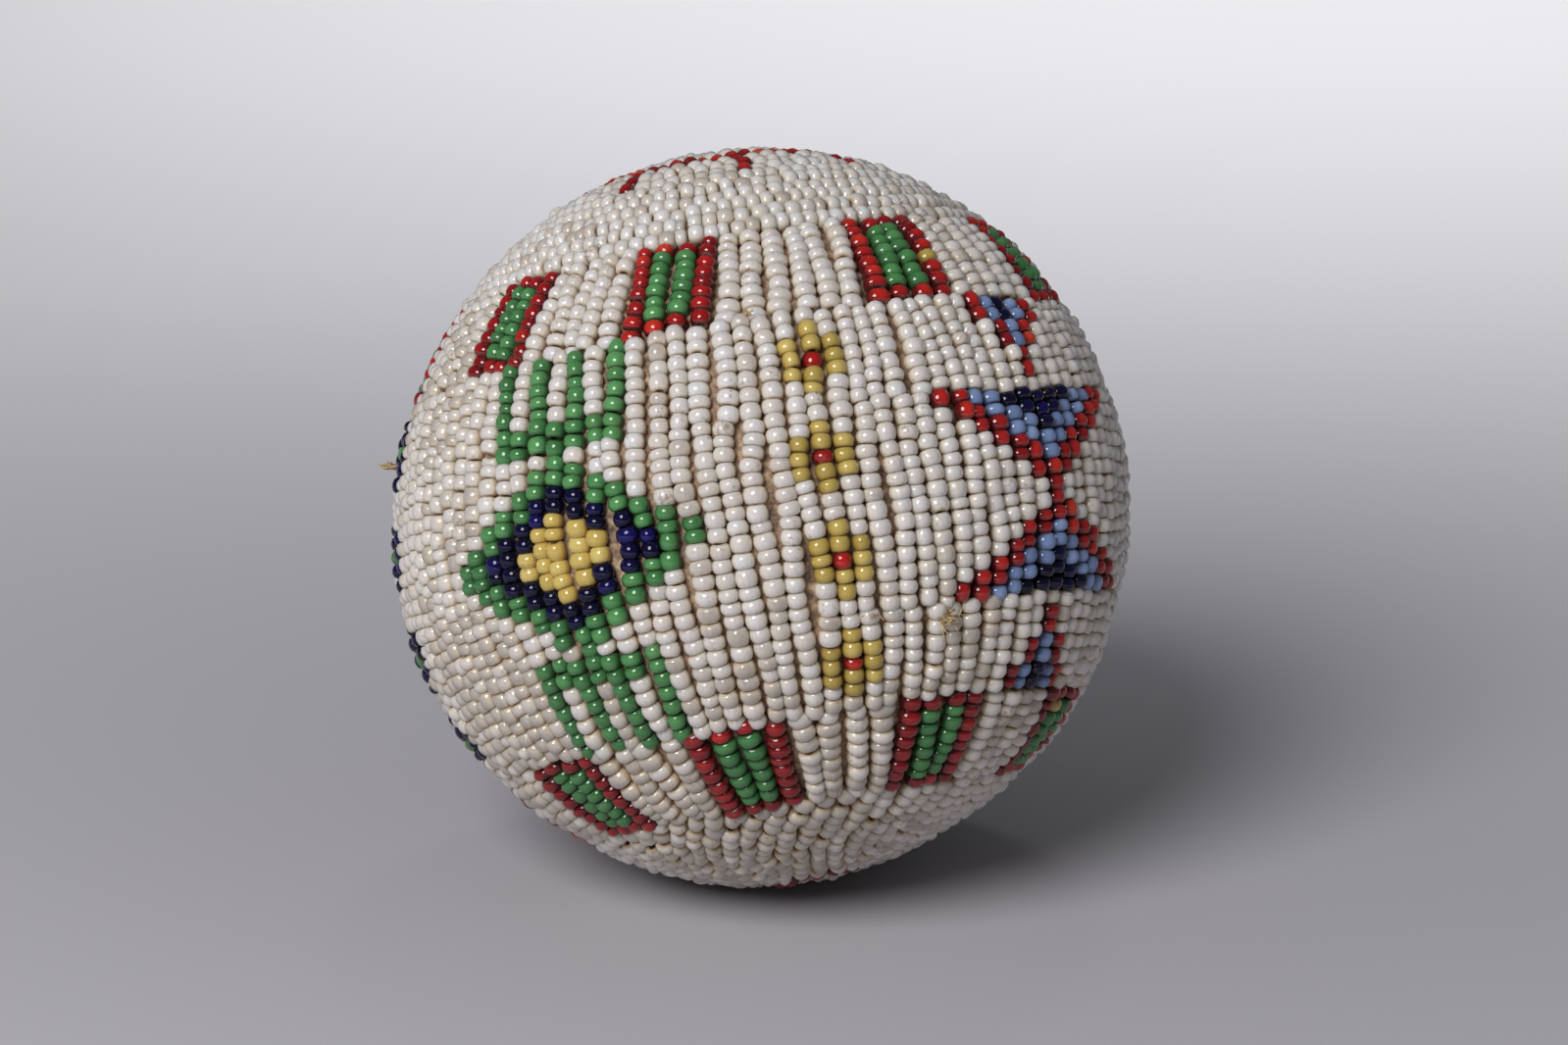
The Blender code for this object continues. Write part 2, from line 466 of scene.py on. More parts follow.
# How much wider a bead may get where it has room, and how far beads press into the column beside them and
# into the next bead on their thread, as shares
LOOSE_WIDTH, CROWDED_WIDTH, STRUNG_LENGTH = 1.05, 1.02, 1.04

# A column dives into the hide at both ends and its last beads tip over: metres, degrees, loose beads'
# further degrees, and the powers that keep it near the ends
LANE_DIVE, DIVE_POWER = 0.00022, 4
END_TILT, LOOSE_TILT, TILT_POWER = 1.5, 4.0, 3.5
# How beads stray on their thread: twist in degrees, lift and slip to the side in metres
BEAD_TWIST, BEAD_LIFT, SIDE_SLIP = 4.0, 0.0001, 0.00004

# How the stitching rounds sway and step, in degrees, and their waves: waves in a round, shift with the
# latitude, height
EDGE_SWAY, SWAY_WAVES = 0.20, ((3, 1.0, 1.0), (8, 2.3, 0.6), (19, -1.0, 0.4))
EDGE_STEP, STEP_WAVES = 0.36, ((67, 1.0, 1.0), (101, 1.7, 1.0))

# How a column strays, in columns, and its waves: waves round the ball, waves up it
COLUMN_WANDER, WANDER_WAVES = 0.085, ((24, 5), (37, -9), (44, 14))

# Over about how many columns a gap dies out on each side
PARTING_REACH = 2.5

# Where the beads are made darker and dirtier: dirt from handling, and painted shade too in the spots over
# the bottom and the upper left: latitude, longitude, how much, spread in degrees
WORN_AND_SHADED_PLACES = (
    (-27.0, -60.0, 1.30, 20.0),
    (-33.0, -3.0, 0.30, 20.0),
    (-64.0, -12.0, 1.35, 28.0),
    (-32.0, 42.0, 0.50, 18.0),
    (24.0, -60.0, 0.85, 17.0),
    (-27.1, -32.8, 3.00, 1.4),
    (-40.0, 150.0, 0.60, 30.0),
)

# What a bead's shade and its soil come from, as shares: the bead, its column, and the worn places, where
# some of the darkening is painted shade
SHADE_SHARES, SOIL_SHARES = (0.65, 0.35, -0.50), (0.6, 0.4, 0.7)


def stitch_line(latitude, longitude):
    """The latitude where a stitching round really runs: it sways a little on its way round."""
    lon = np.radians(longitude)
    sway, step = [
        sum(height * np.sin(around * lon + shift * latitude) for around, shift, height in waves)
        for waves in (SWAY_WAVES, STEP_WAVES)
    ]
    return latitude + EDGE_SWAY * sway + EDGE_STEP * step


def wander(longitude, latitude):
    """How far a column strays sideways here, about -1 to 1. It carries on from lane to lane."""
    lon, lat = np.radians(longitude), np.radians(latitude)
    waves = [np.sin(around * lon + upward * lat) for around, upward in WANDER_WAVES]
    return sum(waves) / (len(waves) / 2.0)


def smoothed(values):
    """Evens values out a little from one column to the next, right round the ball."""
    return (np.roll(values, 1, axis=0) + 2.0 * values + np.roll(values, -1, axis=0)) / 4.0


def parted(longitude, partings):
    """Opens gaps between columns: after which one, extra degrees at the top row, at the bottom row."""
    columns, rows = longitude.shape
    for after, extra_top, extra_bottom in partings:
        extra = np.linspace(extra_top, extra_bottom, rows)
        away = (np.arange(columns) - after - 0.5 + columns / 2) % columns - columns / 2
        pushed = np.sign(away) * np.exp(-(abs(away) - 0.5) / PARTING_REACH)
        longitude = longitude + pushed[:, None] * extra / 2
    return longitude


# The lanes that are sewn in columns, kept for the thread that shows at their ends
SEWN = []


def lay_beads(top, bottom, rows, ways, width, chance, partings=(), ends=(1.0, 1.0)):
    """Lays one lane of bead columns. Each bead gets its middle, its axes and its half sizes.

    ways gives each column's longitude at its top, its middle and its bottom. ends says how fully the
    columns dive and tip over at the top and at the bottom.
    """
    columns = len(ways)
    share = chance.normal(1.0, LENGTH_SPREAD, (columns, rows))
    share = np.cumsum(share, axis=1) / share.sum(axis=1, keepdims=True)
    before = np.hstack((np.zeros((columns, 1)), share[:, :-1]))
    middle = (before + share) / 2.0
    across_lane = 2.0 * middle - 1.0

    to_top, to_bottom = np.maximum(0.0, -across_lane), np.maximum(0.0, across_lane)
    lon = ways[:, 1:2] * (1.0 - to_top - to_bottom) + ways[:, 0:1] * to_top + ways[:, 2:3] * to_bottom
    lon = lon + COLUMN_WANDER * 360.0 / columns * wander(lon, top + (bottom - top) * middle)
    lon = parted(lon, partings) + np.degrees(chance.normal(0.0, SIDE_SLIP / BALL_RADIUS, (columns, rows)))
    upper, lower = stitch_line(top, lon), stitch_line(bottom, lon)
    lat = upper + (lower - upper) * middle
    to_next = (np.roll(lon, -1, axis=0) - lon) % 360.0
    room = np.radians((to_next + np.roll(to_next, 1, axis=0)) / 2.0) * np.cos(np.radians(lat))

    radius = BALL_RADIUS - width / 2.0
    size = chance.normal(1.0, COLUMN_SPREAD, (columns, 1))
    size = size + chance.normal(0.0, WIDTH_SPREAD, (columns, rows))
    loosely = np.clip(room * radius / width, 1.0, LOOSE_WIDTH)
    half_width = np.minimum(width * size * loosely, CROWDED_WIDTH * room * radius) / 2.0
    half_depth = width * chance.normal(1.0, DEPTH_SPREAD, lat.shape) / 2.0
    half_length = STRUNG_LENGTH * (share - before) * np.radians(upper - lower) * radius / 2.0

    arch = abs(across_lane)
    end = np.where(across_lane < 0.0, ends[0], ends[1])
    lift = -LANE_DIVE * end * arch**DIVE_POWER + chance.normal(0.0, BEAD_LIFT, lat.shape)
    loose = END_TILT + chance.exponential(LOOSE_TILT, lat.shape)
    tilt = loose * end * np.sign(across_lane) * (arch * rows / max(rows - 1, 1)) ** TILT_POWER
    tilt = np.radians(tilt + chance.normal(0.0, BEAD_TWIST, lat.shape))
    turn = np.zeros(lat.shape)
    if rows > 1:
        turn = np.gradient(lon, axis=1) * np.cos(np.radians(lat))
        turn = np.arctan2(turn, abs(np.gradient(lat, axis=1)))
    turn = turn + np.radians(chance.normal(0.0, BEAD_TWIST, lat.shape))

    out = direction(lat, lon)
    # worn darkens the beads and soils their joints: dirt from handling, and painted shade at the bottom and
    # upper left
    worn = swell(out, WORN_AND_SHADED_PLACES)
    east = direction(np.zeros(lat.shape), lon + 90.0)
    south = np.cross(east, out)
    middle_at = out * (radius + lift + unevenness(out))[..., None]
    cos, sin = np.cos(turn)[..., None], np.sin(turn)[..., None]
    east, south = east * cos - south * sin, south * cos + east * sin
    cos, sin = np.cos(tilt)[..., None], np.sin(tilt)[..., None]
    out, south = out * cos + south * sin, south * cos - out * sin

    by_bead, by_column, by_place = SHADE_SHARES
    shade = by_bead * chance.random(lat.shape) + by_column * chance.random((columns, 1)) + by_place * worn
    by_bead, by_column, by_place = SOIL_SHARES
    soil = by_bead * chance.random(lat.shape) + by_column * smoothed(chance.random((columns, 1)))
    beads = {
        "form": BARREL_BEAD,
        "middle": middle_at,
        "axes": np.stack((east, out, south), axis=-2),
        "half": np.stack((half_width, half_depth, half_length), axis=-1),
        "stitched_at": direction(np.stack((upper[:, 0], lower[:, -1]), -1), lon[:, (0, -1)]),
        "shade": shade,
        "soil": soil + by_place * worn,
    }
    SEWN.append(beads)
    return beads


# Boxes round the lane: longitude of the box's middle, white columns after it
UPPER_BOXES = (
    (-44.0, 5),
    (-11.0, 6),
    (32.2, 5),
    (71.2, 6),
    (112.0, 6),
    (152.8, 6),
    (193.6, 6),
    (234.4, 6),
    (275.2, 6),
)
BOX_COLUMNS, BOX_ROWS = 4, 8
# How far the columns lean from the lane's top to its bottom, in degrees
UPPER_LEAN = 2.6

# Beads of another colour that slipped in: box, column in the box, row, colour
UPPER_ODD = ((2, 3, 4, "gold"),)

# Gaps between columns where the hide shows: after which column, extra degrees at its top row, extra
# degrees at its bottom row
UPPER_PARTINGS = (
    (4, 0.0, 0.5),
    (8, 0.1, 0.7),
    (13, -0.2, 1.1),
    (15, 0.0, 0.7),
    (17, 0.4, 0.1),
    (18, -0.1, 0.7),
    (20, -0.2, 1.1),
)

GREEN_SHADES = ((0.0, (0.050, 0.18, 0.055)), (0.5, (0.072, 0.25, 0.075)), (1.0, (0.11, 0.33, 0.11)))
GOLD_SHADES = ((0.1, (0.40, 0.29, 0.070)), (0.5, (0.52, 0.39, 0.105)), (0.9, (0.66, 0.51, 0.17)))
# Their edge colours are painted shade at the beads' rims
GLASS["green"] = "green_beads", bead_glass(
    "green_glass",
    GREEN_SHADES,
    edge=(0.025, 0.09, 0.030),
    edge_painted_light=0.7,
    soil=(0.04, 0.06, 0.03),
    soiling=0.6,
    roughness=0.07,
)
GLASS["gold"] = "yellow_beads", bead_glass(
    "gold_glass",
    GOLD_SHADES,
    edge=(0.33, 0.20, 0.03),
    edge_painted_light=0.6,
    soil=(0.20, 0.12, 0.04),
    soiling=0.8,
    roughness=0.08,
    glow=0.35,
)


def shared_out(columns, marks):
    """Longitudes of a lane's columns, shared out evenly between its marks of (column, longitude)."""
    places = [column for column, longitude in marks] + [columns + marks[0][0]]
    longitudes = [longitude for column, longitude in marks] + [360.0 + marks[0][1]]
    return np.interp(np.arange(columns), places, longitudes)


def box_lane(node, top, bottom, boxes, odd, partings, width, lean, seed):
    """Sews a lane of boxes. lean is how far its columns lean from top to bottom, in degrees."""
    columns = sum(BOX_COLUMNS + whites for longitude, whites in boxes)
    chart = np.full((columns, BOX_ROWS), "white")
    marks = []
    start = 0
    for longitude, whites in boxes:
        chart[start : start + BOX_COLUMNS] = "red"
        chart[start + 1 : start + BOX_COLUMNS - 1, 1:-1] = "green"
        marks.append((start, longitude))
        start += BOX_COLUMNS + whites
    for box, column, row, colour in odd:
        chart[marks[box][0] + column, row] = colour
    longitude = shared_out(columns, marks)
    longitude -= (BOX_COLUMNS - 1) / 2.0 * 360.0 / columns
    ways = longitude[:, None] + lean * np.array((0.5, 0.0, -0.5))
    beads = lay_beads(top, bottom, BOX_ROWS, ways, width, np.random.default_rng(seed), partings)
    sew_lane(node, [beads], [chart])


box_lane(
    "upper_box_lane",
    *STITCH_ROUNDS[0:2],
    UPPER_BOXES,
    UPPER_ODD,
    UPPER_PARTINGS,
    width=BOX_BEAD_WIDTH,
    lean=UPPER_LEAN,
    seed=21,
)


# Lanes 1 to 4
# Four lanes of columns, seven beads to a thread. Their motifs carry on from lane to lane: a green diamond
# with forks, stepped tents point to point, and a small flower in each lane between them.
LANE_ROWS = 7

# Where motifs sit: lane, its columns in all, and the longitude of the diamond, flower and tents at the
# front and of the dark flower at the left edge
MOTIF_PLACES = (
    ("lane_1", 107, -31.2, 11.0, 49.7, -81.5),
    ("lane_2", 105, -32.4, 9.4, 49.8, -83.0),
    ("lane_3", 104, -33.1, 10.2, 50.5, -84.0),
    ("lane_4", 100, -32.7, 10.5, 51.1, -84.5),
)
# Columns from the diamond to the flower and to the tents, which are one nearer in lane 4, and from the
# dark flower round to the diamond
TO_FLOWER, TO_TENTS = 12, (24, 24, 24, 23)
BACK_TO_DIAMOND = 15

# Gaps between columns where the hide shows: lane, after which column from the diamond, extra degrees at
# its top row, extra degrees at its bottom row
PARTINGS = (
    ("lane_1", 7, 0.0, 0.5),
    ("lane_1", -3, 0.0, 0.5),
    ("lane_1", 16, -0.3, 1.7),
    ("lane_2", 8, 0.8, -0.1),
    ("lane_2", 9, 0.0, 0.4),
    ("lane_2", 2, -0.6, 1.4),
    ("lane_3", 2, 1.5, -0.5),
    ("lane_3", 9, 0.4, 0.0),
    ("lane_3", 10, 0.0, 0.4),
    ("lane_4", 10, 0.4, 0.0),
)

YELLOW_SHADES = ((0.1, (0.50, 0.37, 0.10)), (0.5, (0.59, 0.45, 0.13)), (0.9, (0.66, 0.53, 0.19)))
NAVY_SHADES = ((0.0, (0.002, 0.002, 0.014)), (0.6, (0.003, 0.002, 0.040)), (1.0, (0.008, 0.005, 0.12)))
BLUE_SHADES = ((0.0, (0.14, 0.20, 0.38)), (0.5, (0.20, 0.28, 0.51)), (1.0, (0.30, 0.40, 0.65)))
# Their edge colours are painted shade at the beads' rims
GLASS["yellow"] = "yellow_beads", bead_glass(
    "yellow_glass",
    YELLOW_SHADES,
    edge=(0.62, 0.41, 0.10),
    edge_painted_light=0.6,
    soil=(0.42, 0.27, 0.10),
    soiling=0.6,
    roughness=0.09,
    glow=0.6,
)
GLASS["navy"] = "navy_beads", bead_glass(
    "navy_glass",
    NAVY_SHADES,
    edge=(0.002, 0.002, 0.008),
    edge_painted_light=0.80,
    soil=(0.03, 0.025, 0.03),
    soiling=0.4,
    roughness=0.04,
    shine=0.32,
)
GLASS["blue"] = "blue_beads", bead_glass(
    "blue_glass",
    BLUE_SHADES,
    edge=(0.07, 0.10, 0.20),
    edge_painted_light=0.6,
    soil=(0.09, 0.09, 0.10),
    soiling=0.7,
    roughness=0.10,
)


def diamond(step, row):
    """Green round navy round yellow over lanes 2 and 3, and green forks over lanes 1 and 4."""
    away = abs(row - (2 * LANE_ROWS - 0.5))
    if away < LANE_ROWS:
        for colour, size in (("yellow", 3), ("navy", 5), ("green", 7)):
            if away < size - step:
                return colour
        return "white"
    # Four prongs, joined in the two rows next to the diamond
    if step in (1, 3) or (step in (0, 2) and away < LANE_ROWS + 2):
        return "green"
    return "white"


def tents(step, row):
    """Stepped tents: red at the point, then light blue, and navy at the base."""
    row = min(row, 4 * LANE_ROWS - 1 - row)
    # Narrow in the outer lanes, wide in the inner ones
    height = LANE_ROWS - 1 - 2 * step if row < LANE_ROWS else LANE_ROWS - step
    from_point = height - 1 - row % LANE_ROWS
    if from_point < 0:
        return "white"
    return ("red", "blue", "navy")[min(from_point // 2, 2)]


def yellow_flower(step, row):
    return flower(step, row, "gold", "red")


def dark_flower(step, row):
    return flower(step, row, "navy", "green")


def flower(step, row, petals, heart):
    """Petals round one bead, in the middle of each lane."""
    away = abs(row % LANE_ROWS - LANE_ROWS // 2)
    if step > 1 or away + step > 2:
        return "white"
    return heart if step + away == 0 else petals


# Motifs behind, from the front tents round to the dark flower, and the widest motif's half width in columns
BEHIND = (dark_flower, diamond, yellow_flower, tents)
MOTIF_REACH = 6


def lane_chart(columns, lane, motifs):
    """Which colour each bead of a lane has. motifs is [(column, what sits there)]."""
    chart = np.full((columns, LANE_ROWS), "white", dtype="U6")
    for column, motif in motifs:
        for step in range(-MOTIF_REACH, MOTIF_REACH + 1):
            for row in range(LANE_ROWS):
                colour = motif(abs(step), lane * LANE_ROWS + row)
                if colour != "white":
                    chart[(column + step) % columns, row] = colour
    return chart


def marks_of(lane):
    """A lane's marked columns and their longitudes: diamond, flower, tents, dark flower, diamond again."""
    columns, diamond_at, flower_at, tents_at, dark_at = MOTIF_PLACES[lane][1:]
    marked = (0, TO_FLOWER, TO_TENTS[lane], columns - BACK_TO_DIAMOND, columns)
    return marked, (diamond_at, flower_at, tents_at, 360.0 + dark_at, 360.0 + diamond_at)


def middle_lane(lane):
    """Each column bends half of the way towards the same place in the lanes above and below."""
    node, columns = MOTIF_PLACES[lane][:2]
    marked = marks_of(lane)[0]
    places = range(len(marked))
    place = np.interp(np.arange(columns), marked, places)
    others = (lane, max(lane - 1, 0), min(lane + 1, len(MOTIF_PLACES) - 1))
    here, above, below = [np.interp(place, places, marks_of(other)[1]) for other in others]
    ways = np.stack(((here + above) / 2.0, here, (here + below) / 2.0), axis=1)
    tents_column, dark = marked[2:4]
    behind = np.linspace(tents_column, dark, len(BEHIND) + 2).round().astype(int)
    motifs = [(0, diamond), (TO_FLOWER, yellow_flower), (tents_column, tents), (dark, dark_flower)]
    motifs += list(zip(behind[1:-1].tolist(), BEHIND))
    partings = [(after, top, bottom) for name, after, top, bottom in PARTINGS if name == node]
    edges = STITCH_ROUNDS[lane + 1 : lane + 3]
    chance = np.random.default_rng(seed=31 + lane)
    beads = lay_beads(*edges, LANE_ROWS, ways, BEAD_WIDTH, chance, partings)
    sew_lane(node, [beads], [lane_chart(columns, lane, motifs)])


for lane in range(len(MOTIF_PLACES)):
    middle_lane(lane)


# The lower box lane
# Columns of eight beads again, with the same red and green boxes. There are fewer columns here than above,
# so the beads lie loose and wide at the upper edge and crowd at the lower one.
LOWER_BEAD_WIDTH = 0.00238
LOWER_LEAN = -1.0

# Boxes round the lane: longitude of the box's middle, white columns after it
LOWER_BOXES = (
    (-53.3, 4),
    (-12.1, 4),
    (30.1, 4),
    (70.2, 5),
    (117.5, 5),
    (165.0, 5),
    (212.5, 5),
    (260.0, 4),
)
LOWER_ODD = ((3, 1, 1, "gold"),)
LOWER_PARTINGS = ((6, 0.8, 0.1), (14, 0.7, 0.1))
box_lane(
    "lower_box_lane",
    *STITCH_ROUNDS[5:7],
    LOWER_BOXES,
    LOWER_ODD,
    LOWER_PARTINGS,
    width=LOWER_BEAD_WIDTH,
    lean=LOWER_LEAN,
    seed=41,
)


# The lower cap of beads
# White beads, sewn down in columns. One lane hangs from the box lane, leaning left at the left side, and
# shorter ones close in to the lower pole, with a small red ring and the spot that the ball stands on.

# Lanes from the edge to the pole: rows of beads, columns of beads, colour
LOWER_CAP = (
    (6, 57, "white"),
    (2, 46, "white"),
    (2, 36, "white"),
    (1, 28, "white"),
    (1, 22, "white"),
    (1, 17, "white"),
    (1, 13, "red"),
    (1, 8, "white"),
    (1, 3, "white"),
)
# How fully columns dive and tip over between the cap's own lanes, where 1 is as in the other lanes
SOFT_END = 0.15
# A lane's first column starts within so many degrees of the front
START_WITHIN = 2.0

# Where the hanging columns lean: latitude, longitude, degrees that they move to the left, spread; and how
# much of it they take at their top, middle and bottom
LEANING_AT = -60.0
LEANING = ((LEANING_AT, -42.0, 19.0, 28.0),)
LEANING_SHARES = (0.3, -0.2, -0.7)


def lower_cap():
    chance = np.random.default_rng(seed=51)
    edge = STITCH_ROUNDS[-1]
    height = (90.0 + edge) / sum(rows for rows, columns, colour in LOWER_CAP)
    top = edge
    lanes, charts = [], []
    for rows, columns, colour in LOWER_CAP:
        bottom = top - rows * height
        ways = np.repeat(360.0 * np.arange(columns)[:, None] / columns, 3, axis=1)
        ways = ways + chance.uniform(0.0, START_WITHIN)
        ends = (SOFT_END, SOFT_END)
        if top == edge:
            ends = (1.0, SOFT_END)
            ways = ways + swell(direction(LEANING_AT, ways), LEANING) * np.array(LEANING_SHARES)
        lanes.append(lay_beads(top, bottom, rows, ways, BEAD_WIDTH, chance, ends=ends))
        charts.append(np.full((columns, rows), colour))
        top = bottom
    sew_lane("south_cap", lanes, charts)


lower_cap()


# The sewing thread
# A waxed sinew-coloured thread runs through each column and goes down through the hide at both its ends.
# Only those short ends show, where the beads part, and a few frayed ends that stand out of the gaps.
THREAD_RADIUS = 0.00011
THREAD_SIDES = 4
# How far from the ball's middle a thread ends, at what share of a bead's half length it starts, and how far
# it bows out on its way
THREAD_DEPTH, THREAD_IN_BORE, THREAD_BOW = 0.0350, 0.7, 0.0002
THREAD_OFF_FLOOR = 0.0003
THREAD_TONES = ((0.35, (0.34, 0.22, 0.11)), (0.65, (0.78, 0.58, 0.30)))

# Frayed ends: latitude, longitude, fibres, how far they stand out over the beads, how far they spread
FRAYED_ENDS = (
    (-23.4, 26.7, 34, 0.0005, 0.0011),
    (16.6, -87.0, 18, 0.0011, 0.0006),
    (-21.6, 14.0, 8, 0.0002, 0.0006),
    (26.0, 2.5, 7, 0.0003, 0.0006),
)
FIBRE_RADIUS = 0.00006
# A fibre bends at this share of how far it stands out, and its tip rises or falls by up to the other
FIBRE_BEND, FIBRE_RISE = 0.7, 0.3
# Shares of their spread by which fibres stray at the root, and at each step from there
ROOT_STRAY, FIBRE_STRAY = 0.25, 0.5


def waxed_thread():
    """Pale sinew under brown wax, which is worn off in places."""
    material, nodes, link, shader = nodes_of("waxed_thread")
    place = nodes.new("ShaderNodeTexCoord")
    worn = nodes.new("ShaderNodeTexNoise")
    worn.inputs["Scale"].default_value = 1500.0
    tone = ramp(nodes, THREAD_TONES)
    link(place.outputs["Object"], worn.inputs["Vector"])
    link(worn.outputs["Fac"], tone.inputs["Fac"])
    link(tone.outputs["Color"], shader.inputs["Base Color"])
    shader.inputs["Roughness"].default_value = 0.55
    return material


def sewing_thread():
    """One short end of thread at both ends of each column, from the last bead's bore down into the hide."""
    starts, ends = [], []
    for beads in SEWN:
        for row, side in ((0, -1.0), (-1, 1.0)):
            south = beads["axes"][:, row, 2]
            half_length = beads["half"][:, row, 2:]
            starts.append(beads["middle"][:, row] + side * south * half_length * THREAD_IN_BORE)
            ends.append(beads["stitched_at"][:, row] * THREAD_DEPTH)
    starts, ends = np.concatenate(starts), np.concatenate(ends)
    bends = (starts + ends) / 2.0 + THREAD_BOW * starts / np.linalg.norm(starts, axis=1, keepdims=True)
    thickness = np.full(len(starts), THREAD_RADIUS)

    chance = np.random.default_rng(seed=61)
    for latitude, longitude, fibres, out, spread in FRAYED_ENDS:
        way = direction(latitude, longitude)
        root = way * HIDE_RADIUS + chance.normal(0.0, ROOT_STRAY * spread, (fibres, 3))
        bend = way * (BALL_RADIUS + FIBRE_BEND * out)
        bend = bend + chance.normal(0.0, FIBRE_STRAY * spread, (fibres, 3))
        rise = chance.uniform(-FIBRE_RISE, FIBRE_RISE, (fibres, 1))
        tip = bend + way * rise * out + chance.normal(0.0, FIBRE_STRAY * spread, (fibres, 3))
        starts, bends, ends = [np.vstack(pair) for pair in ((starts, root), (bends, bend), (ends, tip))]
        thickness = np.append(thickness, np.full(fibres, FIBRE_RADIUS))
    thickness = thickness[:, None]
    along = ends - starts
    along /= np.linalg.norm(along, axis=1, keepdims=True)
    across = np.cross(along, starts)
    across /= np.linalg.norm(across, axis=1, keepdims=True)
    third = np.cross(along, across)

    rings = []
    for middle in (starts, bends, ends):
        for side in range(THREAD_SIDES):
            turn = math.tau * side / THREAD_SIDES
            rings.append(middle + thickness * (across * math.cos(turn) + third * math.sin(turn)))
    points = stand(np.stack(rings, axis=1))
    points[:, :, 2] = np.maximum(points[:, :, 2], THREAD_OFF_FLOOR)
    faces = [tuple(reversed(range(THREAD_SIDES))), tuple(range(2 * THREAD_SIDES, 3 * THREAD_SIDES))]
    for ring in range(2):
        for side in range(THREAD_SIDES):
            a = ring * THREAD_SIDES + side
            b = ring * THREAD_SIDES + (side + 1) % THREAD_SIDES
            faces.append((a, b, b + THREAD_SIDES, a + THREAD_SIDES))
    count, size = points.shape[:2]
    faces = [tuple(corner + size * stitch for corner in face) for stitch in range(count) for face in faces]

    mesh = bpy.data.meshes.new("sewing_thread")
    mesh.from_pydata(points.reshape(-1, 3).tolist(), [], faces)
    mesh.shade_smooth()
    mesh.materials.append(waxed_thread())
    thread = bpy.data.objects.new("sewing_thread", mesh)
    bpy.context.scene.collection.objects.link(thread)
    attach(thread, "root")


sewing_thread()


# The floor, the lights and the camera
# A plain floor, painted grey near the ball and paler further off as painted shade and light, under one
# large soft light from the upper left and a wide spot over the far floor. The camera looks down on the ball
# at the angle of the photo.
FLOOR_REACH = 3.0
# The floor's colours, painted shade near the ball and painted light further off, and how far from the
# ball's foot they change over
FLOOR_SHADED_GREY, FLOOR_LIT_PALE = (0.53, 0.515, 0.555), (0.88, 0.865, 0.90)
GREY_WITHIN, PALE_BEYOND = 0.01, 0.34
# The faint light from all sides
AIR_COLOUR, AIR_STRENGTH = (0.92, 0.95, 1.0, 1.0), 0.112

# Lights: name, kind, place, width, power, what it points at
LIGHTS = (
    ("key_light", "AREA", (-0.245, -0.485, 0.425), 0.36, 3.7, (0.0, 0.0, 0.03)),
    ("back_light", "SPOT", (0.16, 0.72, 1.2), 0.30, 48.0, (0.16, 0.74, 0.0)),
)
SPOT_CONE = 66.0

# The photo's size and the ball's middle and radius in it, in pixels
PHOTO_WIDTH, PHOTO_HEIGHT = 1599, 1066
BALL_AT, BALL_SEEN_RADIUS = (777.0, 528.5), 377.8
# How far off the camera stands and how steeply it looks down
CAMERA_DISTANCE, CAMERA_ELEVATION = 12.0 * BALL_RADIUS, 15.0
SENSOR_WIDTH = 36.0


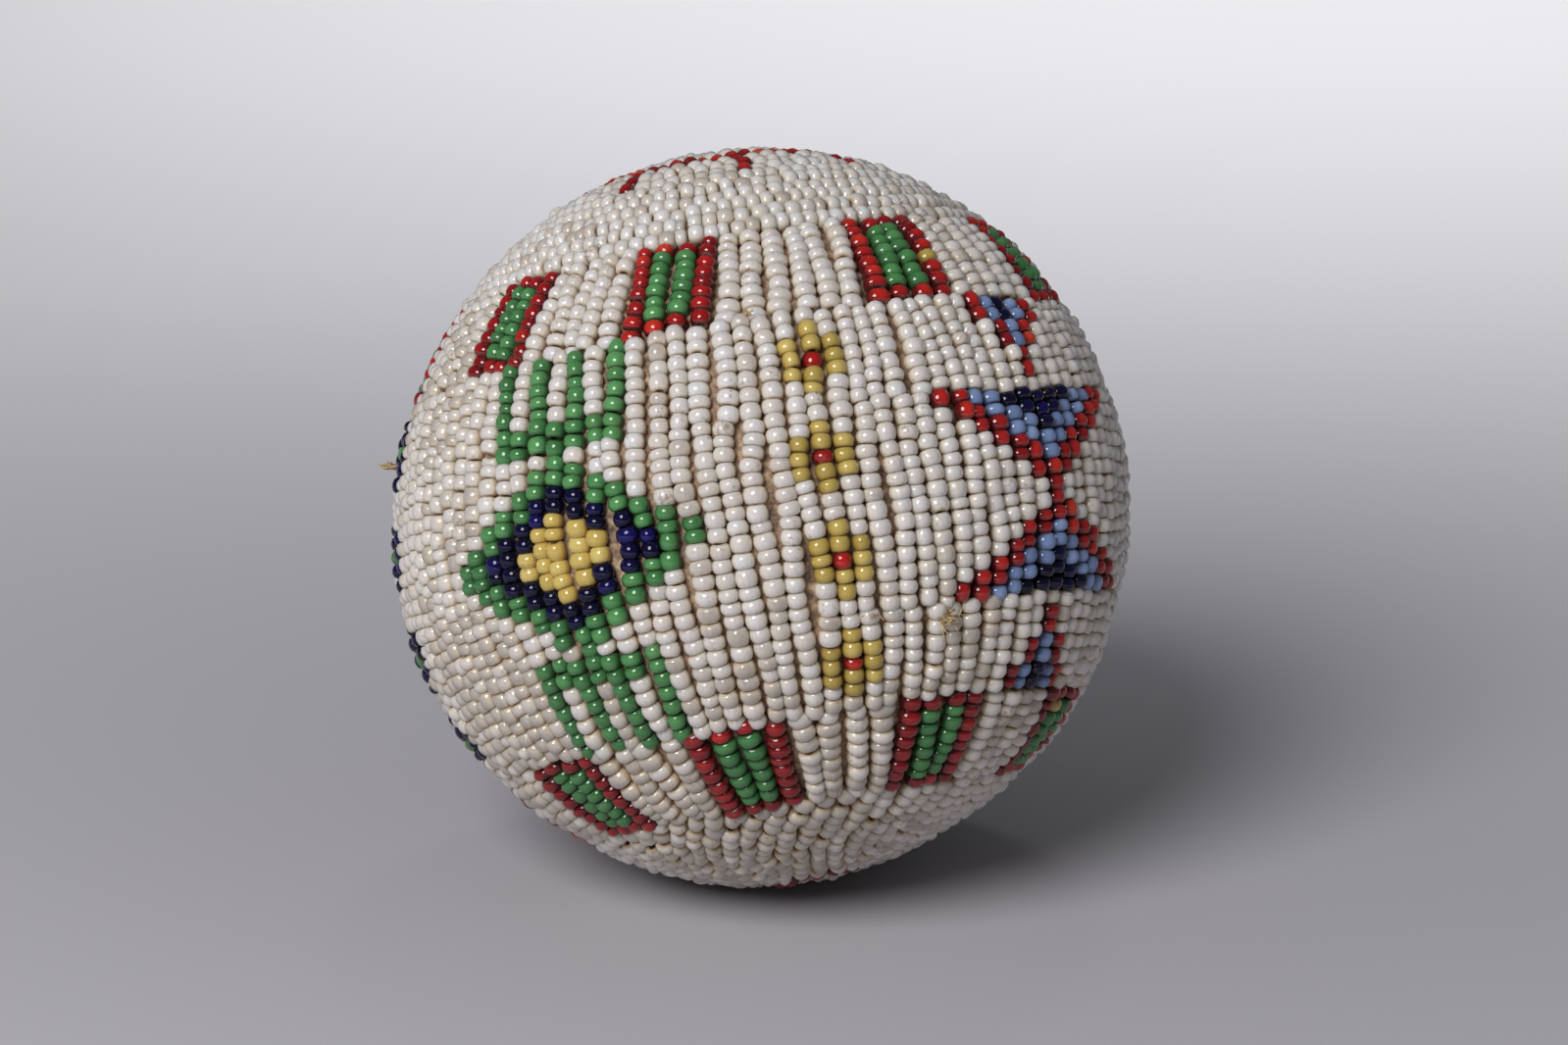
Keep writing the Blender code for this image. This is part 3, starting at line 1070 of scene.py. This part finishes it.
def studio_floor():
    """Plain paper, painted grey round the ball as painted shade and paler further off as painted light."""
    material, nodes, link, shader = nodes_of("floor_paper")
    place = nodes.new("ShaderNodeTexCoord")
    distance = nodes.new("ShaderNodeVectorMath")
    distance.operation = "LENGTH"
    fade = nodes.new("ShaderNodeMapRange")
    fade.interpolation_type = "SMOOTHSTEP"
    fade.inputs["From Min"].default_value = GREY_WITHIN
    fade.inputs["From Max"].default_value = PALE_BEYOND
    tone = ramp(nodes, ((0.0, FLOOR_SHADED_GREY), (1.0, FLOOR_LIT_PALE)))
    link(place.outputs["Object"], distance.inputs[0])
    link(distance.outputs["Value"], fade.inputs["Value"])
    link(fade.outputs["Result"], tone.inputs["Fac"])
    link(tone.outputs["Color"], shader.inputs["Base Color"])
    shader.inputs["Roughness"].default_value = 0.8
    mesh = bpy.data.meshes.new("floor")
    corners = [(x * FLOOR_REACH, y * FLOOR_REACH, 0.0) for x, y in ((-1, -1), (1, -1), (1, 1), (-1, 1))]
    mesh.from_pydata(corners, [], [(0, 1, 2, 3)])
    mesh.materials.append(material)
    floor = bpy.data.objects.new("floor", mesh)
    bpy.context.scene.collection.objects.link(floor)


def soft_light(name, kind, place, width, power, towards):
    """A round soft light; a spot is one with its light kept to a cone that fades towards its edge."""
    lamp = bpy.data.lights.new(name, kind)
    lamp.energy = power
    if kind == "SPOT":
        lamp.shadow_soft_size = width / 2.0
        lamp.spot_size, lamp.spot_blend = math.radians(SPOT_CONE), 1.0
    else:
        lamp.shape = "DISK"
        lamp.size = width
    light = bpy.data.objects.new(name, lamp)
    light.location = place
    light.rotation_euler = (Vector(towards) - Vector(place)).to_track_quat("-Z", "Y").to_euler()
    bpy.context.scene.collection.objects.link(light)


def studio_air():
    """A faint cool light from all sides."""
    world = bpy.data.worlds.new("studio")
    world.use_nodes = True
    world.node_tree.nodes["Background"].inputs["Color"].default_value = AIR_COLOUR
    world.node_tree.nodes["Background"].inputs["Strength"].default_value = AIR_STRENGTH
    bpy.context.scene.world = world


def photo_camera():
    """Stands where the photo was taken from, and puts the ball where the photo has it."""
    camera = bpy.data.cameras.new("camera")
    focal_pixels = BALL_SEEN_RADIUS * math.sqrt((CAMERA_DISTANCE / BALL_RADIUS) ** 2 - 1.0)
    camera.sensor_width = SENSOR_WIDTH
    camera.lens = focal_pixels / PHOTO_WIDTH * SENSOR_WIDTH
    camera.shift_x = (PHOTO_WIDTH / 2 - BALL_AT[0]) / PHOTO_WIDTH
    camera.shift_y = (BALL_AT[1] - PHOTO_HEIGHT / 2) / PHOTO_WIDTH
    camera.clip_start = 0.01
    elevation = math.radians(CAMERA_ELEVATION)
    placed = bpy.data.objects.new("camera", camera)
    away = Vector((0.0, -math.cos(elevation), math.sin(elevation))) * CAMERA_DISTANCE
    placed.location = Vector(CENTRE) + away
    placed.rotation_euler = (math.pi / 2 - elevation, 0.0, 0.0)
    bpy.context.scene.collection.objects.link(placed)
    bpy.context.scene.camera = placed


studio_floor()
for light in LIGHTS:
    soft_light(*light)
studio_air()
photo_camera()
bpy.context.scene.view_settings.view_transform = "Standard"
